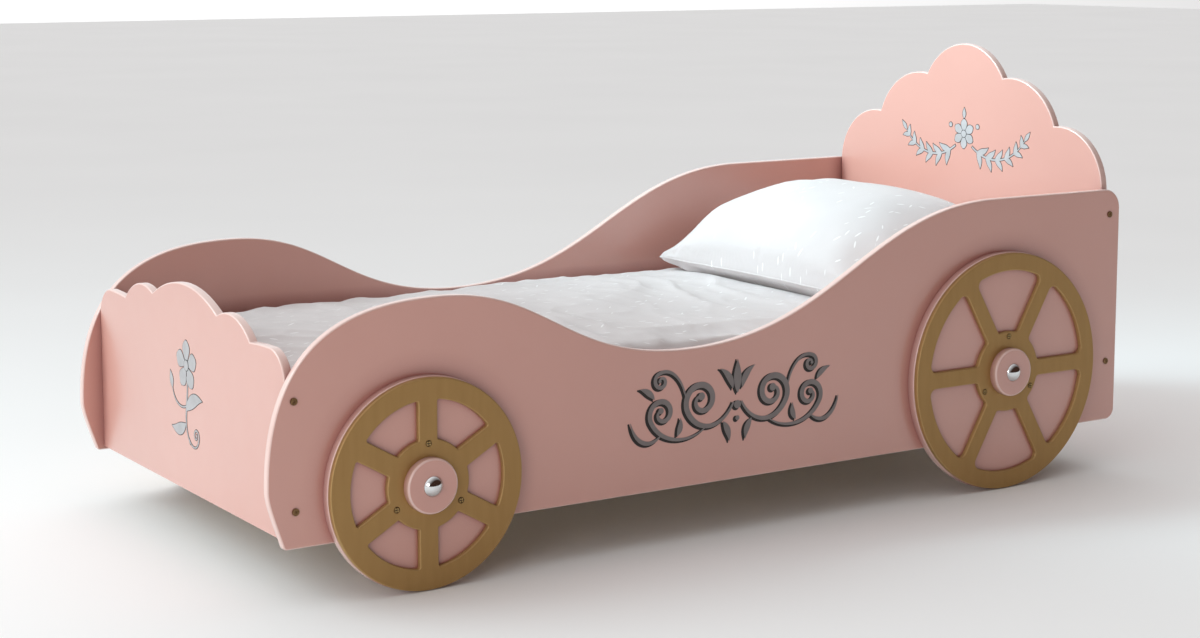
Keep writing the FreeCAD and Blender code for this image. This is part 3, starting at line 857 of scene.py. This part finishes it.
def flourish():
    """A symmetrical pair of scrolls, with leaves between them."""
    arm = scroll([(0.010, -0.006), (0.040, -0.064), (0.105, -0.060), (0.126, -0.010)],
                 0.040, 1.30, (0.004, 0.0125, 0.004))
    arm += scroll([(0.080, -0.050), (0.120, -0.080), (0.190, -0.074), (0.214, -0.024)],
                  0.031, 1.25, (0.002, 0.0105, 0.0035))
    arm += scroll([(0.128, 0.010), (0.134, 0.054), (0.166, 0.086), (0.196, 0.070)],
                  0.017, -1.15, (0.002, 0.0080, 0.003))
    arm += [tendril([(0.189, -0.054), (0.216, -0.080), (0.252, -0.066), (0.262, -0.022)],
                    0.002, 0.0085, 0.001),
            leaf((0.036, -0.044), (0.020, -0.086), 0.014, -0.12),
            leaf((0.150, -0.060), (0.142, -0.024), 0.012, 0.15),
            leaf((0.205, 0.020), (0.240, 0.044), 0.012, 0.15),
            leaf((0.012, 0.022), (0.044, 0.066), 0.014, 0.18)]
    middle = [leaf((0, 0.012), (0, 0.082), 0.019, 0.0), dot((0, -0.012), 0.0085), dot((0, -0.040), 0.005)]
    return middle + arm + mirrored(arm)


def flower_spray():
    """A five-petalled flower on a bent stem, with two leaves, a bud and a thin tendril."""
    bud = Vector((-0.074, -0.004))
    strokes = [tendril([(0.000, 0.030), (0.012, -0.020), (-0.030, -0.060), (0.012, -0.104)],
                       0.0030, 0.0045, 0.0020),
               leaf((-0.006, -0.040), (0.076, -0.008), 0.027, 0.16),
               leaf((-0.008, -0.066), (-0.082, -0.082), 0.024, 0.16),
               tendril([(-0.004, -0.030), (-0.026, -0.040), (-0.064, -0.036), bud], 0.0030, 0.0030, 0.0020),
               leaf(bud, bud + Vector((-0.010, 0.034)), 0.017, 0.0)]
    strokes += scroll([(0.006, -0.094), (0.022, -0.114), (0.050, -0.112), (0.056, -0.086)],
                      0.014, 1.1, (0.0015, 0.0035, 0.0015))
    return strokes + rosette((0.0, 0.052), 5, 0.050, 0.034, 90)


def garland():
    """Two leafy branches that rise to either side of a rosette."""
    line = bezier_points([(0.030, -0.020), (0.085, -0.060), (0.165, -0.056), (0.214, 0.010)], 60)
    branch = [stroke(line, 0.004, 0.0045, 0.0015)]
    for number, step in enumerate((6, 16, 26, 36, 46, 54)):
        along = (line[step + 1] - line[step - 1]).normalized()
        for sign in (1, -1):
            side = left_of(along) * sign
            tip = line[step] + (along * 0.72 + side * 0.70) * (0.042 - 0.003 * number)
            branch.append(leaf(line[step], tip, 0.0145 - 0.0008 * number, -0.14 * sign))
    branch.append(leaf(line[-2], line[-1] + (line[-1] - line[-3]).normalized() * 0.024, 0.010, 0.0))
    strokes = branch + mirrored(branch) + [dot((0.048, 0.030), 0.0055), dot((-0.048, 0.030), 0.0055)]
    return strokes + rosette((0, 0.010), 6, 0.036, 0.021, 90) + [leaf((0, 0.048), (0, 0.074), 0.011, 0.0)]


def brush(points, widths, margin):
    """The outline of a stroke, with a margin all round.  A stroke of one point is a dot."""
    if len(points) == 1:
        return [points[0] + point for point in circle_points(widths[0] + margin, 40)]
    head = points[0] + (points[0] - points[1]).normalized() * margin
    tail = points[-1] + (points[-1] - points[-2]).normalized() * margin
    line = [head] + points + [tail]
    spread = [widths[0]] + widths + [widths[-1]]
    left = []
    right = []
    for i, point in enumerate(line):
        ahead = line[min(i + 1, len(line) - 1)] - line[max(i - 1, 0)]
        side = left_of(ahead).normalized() * (spread[i] / 2 + margin)
        left.append(point + side)
        right.append(point - side)
    return join(left, right[::-1])


def film(name, strokes, margin, place, thickness, finish, body="root"):
    """Paint of a given thickness: each stroke a hair higher than the one before it."""
    verts = []
    faces = []
    for number, (points, widths) in enumerate(strokes):
        loop = counter_clockwise(brush(points, widths, margin))
        start = len(verts)
        count = len(loop)
        for height in (0, thickness + number * PAINT_STEP):
            verts += [place(point.x, point.y, height) for point in loop]
        for i in range(count):
            j = (i + 1) % count
            faces.append((start + i, start + j, start + count + j, start + count + i))
        for a, b, c in tessellate_polygon([[point.to_3d() for point in loop]]):
            faces.append((start + a, start + b, start + c))
            faces.append((start + count + a, start + count + c, start + count + b))
    finish_piece(closed_piece(name, verts, faces, smooth=False), body, finish)


def ornaments():
    centre = Vector((FLOURISH_CENTRE[0], faces_of("side_panel_left", "left")[1], FLOURISH_CENTRE[1]))
    shaded = outward("left", centre - Vector((FLOURISH_SHADE[0], 0, FLOURISH_SHADE[1])))
    film("side_flourish_shade", flourish(), SHADE_MARGIN, shaded, PAINT_LOW, BLACK_PAINT)
    film("side_flourish", flourish(), 0.0, outward("left", centre), PAINT_HIGH, GREY_PAINT)
    for name, board, centre, strokes, eye in (
            ("footboard_spray", "footboard", SPRAY_CENTRE, flower_spray(), dot((0.0, 0.052), 0.0105)),
            ("headboard_garland", "headboard", GARLAND_CENTRE, garland(), dot((0, 0.010), 0.0085))):
        face = seat((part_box(board)[0].x, *centre), -Y, Z, -X)
        film(name + "_outline", strokes, OUTLINE_MARGIN, face, PAINT_LOW, BLACK_PAINT)
        film(name, strokes, 0.0, face, PAINT_HIGH, SILVER_PAINT)
        film(name + "_centre", [eye], OUTLINE_MARGIN, face, PAINT_HIGH + PAINT_LOW, BLACK_PAINT)
        film(name + "_eye", [eye], 0.0, face, 2 * PAINT_HIGH, SILVER_PAINT)


# ---- small hardware and slatted base

def slats():
    return [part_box(name) for name in sorted(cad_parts) if name.startswith("slat_")]


def rail_screws():
    """Countersunk screws in each ledger rail's inner face, which looks to the other side of the bed."""
    for side, facing in (("left", "right"), ("right", "left")):
        low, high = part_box("ledger_rail_" + side)
        inner = faces_of("ledger_rail_" + side, side)[0]
        for number in range(1, RAIL_SCREWS + 1):
            x = low.x + (high.x - low.x) * (number - 0.5) / RAIL_SCREWS
            place = outward(facing, (x, inner, (low.z + high.z) / 2))
            screw(f"rail_{side}_screw_{number}", place, RAIL_SCREW_RADIUS)


def staples():
    """Two staples through each tape into every slat."""
    for side in SIDES:
        low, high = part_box("webbing_tape_" + side)
        y = (low.y + high.y) / 2
        strokes = []
        for slat_low, slat_high in slats():
            for share in STAPLE_PLACES:
                x = slat_low.x + (slat_high.x - slat_low.x) * share
                line = [Vector((x, y + STAPLE_CROWN * (i / 8 - 0.5))) for i in range(9)]
                strokes.append((line, [STAPLE_WIRE] * 9))
        under = seat((0, 0, low.z), X, Y, -Z)
        film(side + "_tape_staples", strokes, 0.0, under, STAPLE_HEIGHT, BRONZE, "slatted_base")


def carried_over():
    """CAD pieces that keep their shape and get a finish."""
    for name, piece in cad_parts.items():
        if name.endswith("_bolts"):
            dress(piece, BRONZE, BOLT_BEVEL)
        elif name.startswith(("slat_", "ledger_rail")):
            dress(piece, PINE, PINE_BEVEL)


def dress(piece, finish, bevel):
    piece.data.materials.clear()
    piece.data.materials.append(finish)
    easing = piece.modifiers.new("easing", "BEVEL")
    easing.width = bevel
    easing.segments = 2
    easing.limit_method = "ANGLE"
    easing.angle_limit = math.radians(30)


# ---- bedding

def clamped(value, low, high):
    return min(max(value, low), high)


def held(point, low, high):
    """The point, moved into the box from low to high."""
    return Vector([clamped(*values) for values in zip(point, low, high)])


def smooth_step(value):
    value = clamped(value, 0.0, 1.0)
    return value * value * (3 - 2 * value)


def roundness(distance, reach):
    """0 at a border, 1 from reach inwards, along a quarter circle."""
    share = clamped(distance / reach, 0.0, 1.0)
    return math.sqrt(1 - (1 - share) ** 2)


def wrinkle(*place):
    return noise.noise(Vector(place))


def edge_spaced(low, high, count, near_count):
    """Coordinates from low to high, closer together near both ends."""
    near = [EDGE_ZONE * (1 - math.cos(math.pi / 2 * i / near_count)) for i in range(near_count)]
    middle = [EDGE_ZONE + (high - low - 2 * EDGE_ZONE) * i / count for i in range(count + 1)]
    return [low + d for d in near] + [low + d for d in middle] + [high - d for d in reversed(near)]


def pad(name, xs, ys, top, bottom):
    """A closed pad over a grid: top(x, y) and bottom(x, y) meet along the border."""
    rows = len(xs)
    across = len(ys)
    verts = [surface(x, y) for surface in (top, bottom) for x in xs for y in ys]

    def vertex(i, j, lower):
        border = i in (0, rows - 1) or j in (0, across - 1)
        return i * across + j + (rows * across if lower and not border else 0)

    faces = []
    for lower in (False, True):
        for i in range(rows - 1):
            for j in range(across - 1):
                quad = [vertex(i, j, lower), vertex(i + 1, j, lower), vertex(i + 1, j + 1, lower),
                        vertex(i, j + 1, lower)]
                faces.append(quad[::-1] if lower else quad)
    return closed_piece(name, verts, faces)


def evaluated(piece):
    return piece.evaluated_get(bpy.context.evaluated_depsgraph_get())


def fill_out(piece, keep, voxel, pressure, growth, reach):
    """Swells and crumples a cover by cloth simulation, then smooths it.

    No point moves further than reach, and keep(point) holds each one in the cover's own space.
    """
    remesh = piece.modifiers.new("remesh", "REMESH")
    remesh.mode = "VOXEL"
    remesh.voxel_size = voxel
    start = bpy.data.meshes.new_from_object(evaluated(piece))
    piece.modifiers.clear()
    piece.data = start
    cloth = piece.modifiers.new("filling", "CLOTH")
    cloth.settings.quality = 4
    cloth.settings.use_pressure = True
    cloth.settings.uniform_pressure_force = pressure
    cloth.settings.shrink_min = -growth
    cloth.settings.bending_stiffness = 0.2
    cloth.settings.effector_weights.gravity = 0
    cloth.collision_settings.use_collision = False
    cloth.point_cache.frame_start = 1
    cloth.point_cache.frame_end = SIMULATED_FRAMES
    for frame_number in range(1, SIMULATED_FRAMES + 1):
        bpy.context.scene.frame_set(frame_number)
    swollen = evaluated(piece).to_mesh()
    for vertex, target in zip(start.vertices, swollen.vertices):
        move = target.co - vertex.co
        if move.length > reach:
            move *= reach / move.length
        vertex.co += move
    evaluated(piece).to_mesh_clear()
    piece.modifiers.clear()
    bpy.context.scene.frame_set(1)
    for vertex in piece.data.vertices:
        vertex.co = keep(vertex.co)
    piece.data.update()
    piece.data.shade_smooth()
    smooth = piece.modifiers.new("smooth", "SUBSURF")
    smooth.levels = 1
    smooth.render_levels = 1


def closed_tube(name, line, radius):
    """A round tube along a closed smooth line."""
    curve = bpy.data.curves.new(name, "CURVE")
    curve.dimensions = "3D"
    curve.bevel_depth = radius
    curve.bevel_resolution = 3
    spline = curve.splines.new("NURBS")
    spline.points.add(len(line) - 1)
    for point, place in zip(spline.points, line):
        point.co = (*place, 1.0)
    spline.order_u = 3
    spline.use_cyclic_u = True
    tube = bpy.data.objects.new(name, curve)
    bpy.context.scene.collection.objects.link(tube)
    return tube


def seam_line(cover, xs, ys, surface):
    """Every second point of a pad's border, in order round it, drawn onto the finished cover."""
    run = [surface(x, ys[0]) for x in xs[:-1]] + [surface(xs[-1], y) for y in ys[:-1]]
    run += [surface(x, ys[-1]) for x in reversed(xs[1:])] + [surface(xs[0], y) for y in reversed(ys[1:])]
    tree = BVHTree.FromObject(cover, bpy.context.evaluated_depsgraph_get())
    drawn = [tree.find_nearest(point)[0] for point in run[::2]]
    count = len(drawn)
    return [(drawn[i - 1] + drawn[i] * 2 + drawn[(i + 1) % count]) / 4 for i in range(count)]


def stuffed(name, cad, xs, ys, surface, keep, filling, seam_radius):
    """A filled linen cover with a round seam; it stands for a CAD piece and rides the body of that name."""
    cover = pad(name, xs, ys, surface, lambda x, y: surface(x, y, upper=False))
    fill_out(cover, keep, **filling)
    finish_piece(cover, cad, LINEN, cad)
    seam = closed_tube(name + "_seam", seam_line(cover, xs, ys, surface), seam_radius)
    finish_piece(seam, cad, LINEN)


def duvet():
    low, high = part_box("duvet")
    pillow_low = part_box("pillow")[0]
    x0, x1 = low.x + DUVET_INSET, high.x - DUVET_INSET
    y0, y1 = low.y + DUVET_INSET, high.y - DUVET_INSET
    base = low.z + BEDDING_GAP
    pressed = pillow_low.z - PRESS_GAP - base

    def under_pillow(x, y):
        along = smooth_step((x - (pillow_low.x - PRESS_START)) / PRESS_RUN)
        return along * smooth_step((PRESS_HALF_WIDTH - abs(y)) / PRESS_SIDE_RUN)

    def folds(x, y):
        """Broad puffs, long soft folds that cross the bed at a slant, small creases, gathered sides."""
        puff = wrinkle(x * 4.2, y * 3.6, 0.3) * PUFF_HEIGHT
        slant = x * 5.5 + y * 3.2
        wander = wrinkle(x * 2.1, y * 2.4, 6.0) * 2.2
        ridge = 1 - abs(wrinkle(slant + wander, y * 1.1 - x * 0.6, 4.0)) * 2.6
        crease = 1 - abs(wrinkle(x * 13 + y * 4, y * 9 - x * 3, 9.0)) * 3.0
        gather = wrinkle(x * 34, y * 7, 12.0) * smooth_step((abs(y) - GATHER_START) / GATHER_RUN)
        return (puff + max(ridge, 0) ** 2 * RIDGE_HEIGHT + max(crease, 0) ** 2 * CREASE_HEIGHT
                + gather * GATHER_HEIGHT)

    def height(x, y):
        across = math.cos(math.pi / 2 * min(abs(y) / y1, 1.0)) ** DUVET_ARCH
        body = DUVET_EDGE + (DUVET_CROWN - DUVET_EDGE) * across
        foot = smooth_step((x - x0) / DUVET_FOOT_RUN)
        body = DUVET_EDGE + (body - DUVET_EDGE) * (DUVET_FOOT_SHARE + (1 - DUVET_FOOT_SHARE) * foot)
        loose = min(1.0, min(x1 - x, x - x0, y1 - abs(y)) / FOLD_FREE_BORDER)
        body += loose * folds(x, y)
        return body + (min(pressed, body) - body) * under_pillow(x, y)

    def surface(x, y, upper=True):
        reach = DUVET_SLOPE if upper else DUVET_TURN
        share = roundness(x - x0, reach) * roundness(x1 - x, reach) * roundness(y1 - abs(y), reach)
        middle = DUVET_EDGE * 0.5
        z = middle + (height(x, y) - middle) * share if upper else middle * (1 - share)
        return Vector((x, y, base + z))

    def keep(point):
        roof = high.z + DUVET_ROOM_ABOVE
        roof += (base + pressed - roof) * under_pillow(point.x, point.y)
        return held(point, (low.x, low.y + BEDDING_GAP, base), (high.x, high.y - BEDDING_GAP, roof))

    stuffed("quilt", "duvet", edge_spaced(x0, x1, 220, 7), edge_spaced(y0, y1, 110, 7), surface, keep,
            DUVET_FILLING, DUVET_SEAM)


def pillow():
    low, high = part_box("pillow")
    x0, x1 = low.x + PILLOW_INSET, high.x - PILLOW_INSET
    half = high.y - PILLOW_INSET
    rest = low.z + BEDDING_GAP
    front_z = rest + PILLOW_FRONT_SEAM
    back_z = rest + PILLOW_BACK_SEAM
    crown_z = high.z - PILLOW_TOP_GAP
    crown_x = x1 - PILLOW_CROWN_FROM_BACK

    def share_along(x):
        return (x - x0) / (x1 - x0)

    def seam(x):
        return front_z + (back_z - front_z) * share_along(x)

    def drawn(x, y):
        """The plan point, with the sides pulled in between the corners."""
        side = 1 - PILLOW_PULL * math.sin(math.pi * share_along(x)) / half
        front = PILLOW_PULL * math.cos(math.pi / 2 * y / half) * (1 - share_along(x))
        return x + front, y * side

    def arch(x):
        if x < crown_x:
            return math.sqrt(1 - ((crown_x - x) / (crown_x - x0)) ** 2.2)
        return max(1 - ((x - crown_x) / (x1 - crown_x)) ** 1.6, 0.0) ** 0.8

    def surface(x, y, upper=True):
        lens = max(1 - (abs(y) / half) ** 2.7, 0.0) ** 0.40
        corner = math.hypot(min(x - x0, x1 - x), half - abs(y))
        lens *= 0.15 + 0.85 * smooth_step(corner / PILLOW_EAR)
        plan_x, plan_y = drawn(x, y)
        middle = seam(x)
        if upper:
            z = middle + (crown_z - seam(crown_x)) * arch(x) * lens
        else:
            drop = (middle - rest) * roundness(x - x0, PILLOW_FRONT_TURN)
            z = middle - drop * roundness(x1 - x, PILLOW_BACK_TURN) * min(1.0, lens * 1.5)
        edge = min(x - x0, x1 - x, half - abs(y))
        tuck = wrinkle(x * 26, y * 26, 5.0) * PILLOW_TUCK * math.exp(-edge / PILLOW_TUCK_RUN)
        ripple = wrinkle(x * 7, y * 6, 2.0 if upper else 7.0) * PILLOW_RIPPLE
        z += (ripple + tuck) * min(edge / EDGE_ZONE, 1.0)
        return Vector((plan_x, plan_y, max(z, rest)))

    def keep(point):
        return held(point, (low.x, low.y, rest), (high.x, high.y, high.z + PILLOW_ROOM_ABOVE))

    stuffed("head_cushion", "pillow", edge_spaced(x0, x1, 80, 6), edge_spaced(-half, half, 90, 6), surface,
            keep, PILLOW_FILLING, PILLOW_SEAM)


def rounded_plan(x, y, half_x, half_y):
    """A grid point moved onto a rectangle with round corners, and its distance from the border."""
    corner = MATTRESS_CORNER
    u = (abs(x) - (half_x - corner)) / corner
    v = (abs(y) - (half_y - corner)) / corner
    depth = corner * (1 - max(u, v))
    if u <= 0 or v <= 0:
        return x, y, depth
    reach = max(u, v) / math.hypot(u, v)
    return (math.copysign(half_x - corner + corner * u * reach, x),
            math.copysign(half_y - corner + corner * v * reach, y), depth)


def quilting(x, y):
    """How far a sewn diamond pattern draws the cover in, from 0 to 1 on the seams."""
    depth = 0.0
    for line in (x + y, x - y):
        gap = (line / QUILT_PITCH + 0.5) % 1.0 - 0.5
        depth = max(depth, math.exp(-(gap * QUILT_PITCH / QUILT_SEAM_WIDTH) ** 2))
    return depth


def mattress():
    """A boxed foam mattress: side band, two quilted panels, round piping and four handles."""
    low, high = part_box("mattress")
    middle = (low + high) / 2
    half_x = (high.x - low.x) / 2 - MATTRESS_INSET
    half_y = (high.y - low.y) / 2 - MATTRESS_INSET

    def ring(inset):
        points = []
        for sx, sy, first in ((1, 1, 0), (-1, 1, 90), (-1, -1, 180), (1, -1, 270)):
            in_from = inset + MATTRESS_CORNER
            centre = Vector((sx * (half_x - in_from), sy * (half_y - in_from)))
            points += circle_run(centre, MATTRESS_CORNER, math.radians(first), math.radians(first + 90), 12)
        return points

    place = seat((middle.x, middle.y, low.z + PANEL_DEPTH), X, Y, Z)
    band = plate("mattress_foam", ring(BAND_INSET), [], place, high.z - low.z - 2 * PANEL_DEPTH, BAND_RIM)
    finish_piece(band, "mattress", TICKING, "mattress")
    xs = edge_spaced(-half_x, half_x, 260, 7)
    ys = edge_spaced(-half_y, half_y, 124, 7)
    for name, seam_z, up in (("top", high.z - PANEL_DEPTH, 1), ("bottom", low.z + PANEL_DEPTH, -1)):

        def outer(x, y):
            u, v, depth = rounded_plan(x, y, half_x, half_y)
            rise = (PANEL_DEPTH - BEDDING_GAP) * roundness(depth, PANEL_TURN)
            rise -= QUILT_DEPTH * quilting(x, y) * smooth_step(depth / EDGE_ZONE)
            return Vector((middle.x + u, middle.y + v, seam_z + up * rise))

        def inner(x, y):
            u, v, depth = rounded_plan(x, y, half_x, half_y)
            sink = PANEL_SINK * roundness(depth, PANEL_SINK_RUN)
            return Vector((middle.x + u, middle.y + v, seam_z - up * sink))

        panel = pad("mattress_" + name, xs, ys, outer, inner)
        finish_piece(panel, "mattress", TICKING)
        line = [Vector((middle.x + point.x, middle.y + point.y, seam_z)) for point in ring(0.0)]
        finish_piece(closed_tube(f"mattress_{name}_piping", line, PIPING_RADIUS), "mattress", TICKING)
    for side, sign in SIDES.items():
        for number, x in enumerate(HANDLE_PLACES, 1):
            sewn_on = Vector((middle.x + x, middle.y + sign * (half_y - BAND_INSET), middle.z))
            handle(f"mattress_handle_{side}_{number}", sewn_on, sign)


def strip(name, body, stations, cad=None):
    """A flat cotton strip with four corner points at each of its stations."""
    last = len(stations) - 4
    faces = [(0, 1, 3, 2), (last, last + 2, last + 3, last + 1)]
    for a in range(0, last, 4):
        b = a + 4
        faces += [(a, b, b + 1, a + 1), (a + 2, a + 3, b + 3, b + 2), (a, a + 2, b + 2, b),
                  (a + 1, b + 1, b + 3, a + 3)]
    finish_piece(closed_piece(name, stations, faces, smooth=False), body, TAPE, cad)


def handle(name, middle, sign):
    """A webbing handle that lies flat against the mattress band, sewn down at both ends."""
    verts = []
    for i in range(HANDLE_STEPS + 1):
        along = (i / HANDLE_STEPS - 0.5) * HANDLE_LENGTH
        away = HANDLE_SLACK * math.sqrt(max(math.cos(math.pi * along / HANDLE_LENGTH), 0.0))
        for height in (-HANDLE_WIDTH / 2, HANDLE_WIDTH / 2):
            for depth in HANDLE_FACES:
                verts.append((middle.x + along, middle.y + sign * (away + depth), middle.z + height))
    strip(name, "mattress", verts)


def webbing():
    """The two tapes that join the slats: pressed flat under each slat, slack between them."""
    spans = [(slat_low.x, slat_high.x) for slat_low, slat_high in slats()]
    for side in SIDES:
        cad = "webbing_tape_" + side
        low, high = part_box(cad)
        verts = []
        for i in range(TAPE_STEPS + 1):
            x = low.x + (high.x - low.x) * i / TAPE_STEPS
            gap = min(max(start - x, x - end) for start, end in spans)
            sag = TAPE_SAG * smooth_step(gap / TAPE_SAG_RUN)
            for y in (low.y, high.y):
                for z in (low.z, high.z):
                    verts.append((x, y, z - sag))
        strip(side + "_tape", "slatted_base", verts, cad)


# ---- stage

def stage():
    floor = new_object("floor", [(-30, -30, 0), (30, -30, 0), (30, 30, 0), (-30, 30, 0)], [(0, 1, 2, 3)])
    look = Finish("studio_floor", Roughness=0.9)
    tone = look.ramp(look.cloud(0.6), (0.3, (0.91, 0.91, 0.91)), (0.7, (0.93, 0.93, 0.93)))
    floor.data.materials.append(look.done(Base_Color=tone))


def area_light(name, position, target, size, watts, colour, spread=180):
    data = bpy.data.lights.new(name, "AREA")
    data.shape = "RECTANGLE"
    data.size = size
    data.size_y = size
    data.energy = watts
    data.color = colour
    data.spread = math.radians(spread)
    lamp = bpy.data.objects.new(name, data)
    bpy.context.scene.collection.objects.link(lamp)
    lamp.location = position
    aim = Vector(target) - Vector(position)
    lamp.rotation_euler = aim.to_track_quat("-Z", "Y").to_euler()


def lighting():
    """A bright studio behind and to the foot side, and a dim one behind the camera."""
    area_light("key_light", (-3.6, 1.6, 2.6), (-0.2, 0, 0.35), 2.2, 57, (0.82, 1.0, 1.04))
    area_light("head_light", (-0.9, 0.9, 2.3), (1.0, 0.1, 0.85), 0.8, 7, (0.72, 1.0, 1.08), 60)
    area_light("foot_fill", (-3.0, -2.5, 1.1), (-0.8, -0.5, 0.35), 1.2, 18, (1.0, 0.93, 0.90))
    world = bpy.data.worlds.new("studio")
    world.use_nodes = True
    sky = Nodes(world.node_tree)
    direction = sky.add("TexCoord").outputs["Generated"]
    toward_back = sky.vector("DOT_PRODUCT", direction, (-0.45, 0.8, 0.4)).outputs["Value"]
    glow = sky.ramp(sky.ranged(toward_back, 0.0, 1.0, -1.0, 1.0), (0.30, (0.050, 0.025, 0.018)),
                    (0.70, (1.08, 1.08, 1.08)))
    background = sky.tree.nodes["Background"]
    sky.tree.links.new(glow, background.inputs["Color"])
    background.inputs["Strength"].default_value = 1.0
    bpy.context.scene.world = world
    bpy.context.scene.view_settings.view_transform = "Standard"


def camera():
    data = bpy.data.cameras.new("camera")
    data.sensor_width = 36.0
    data.lens = 66.01
    data.shift_y = -0.0742
    eye = bpy.data.objects.new("camera", data)
    bpy.context.scene.collection.objects.link(eye)
    eye.location = (-2.6430, -4.0357, 1.1929)
    eye.rotation_euler = (math.radians(90 - 7.343), 0, math.radians(-32.832))
    bpy.context.scene.camera = eye


side_panels()
scalloped_boards()
for end, sizes in WHEELS.items():
    for side in SIDES:
        wheel(end, side, sizes)
ornaments()
carried_over()
rail_screws()
staples()
mattress()
duvet()
pillow()
webbing()
stage()
lighting()
camera()
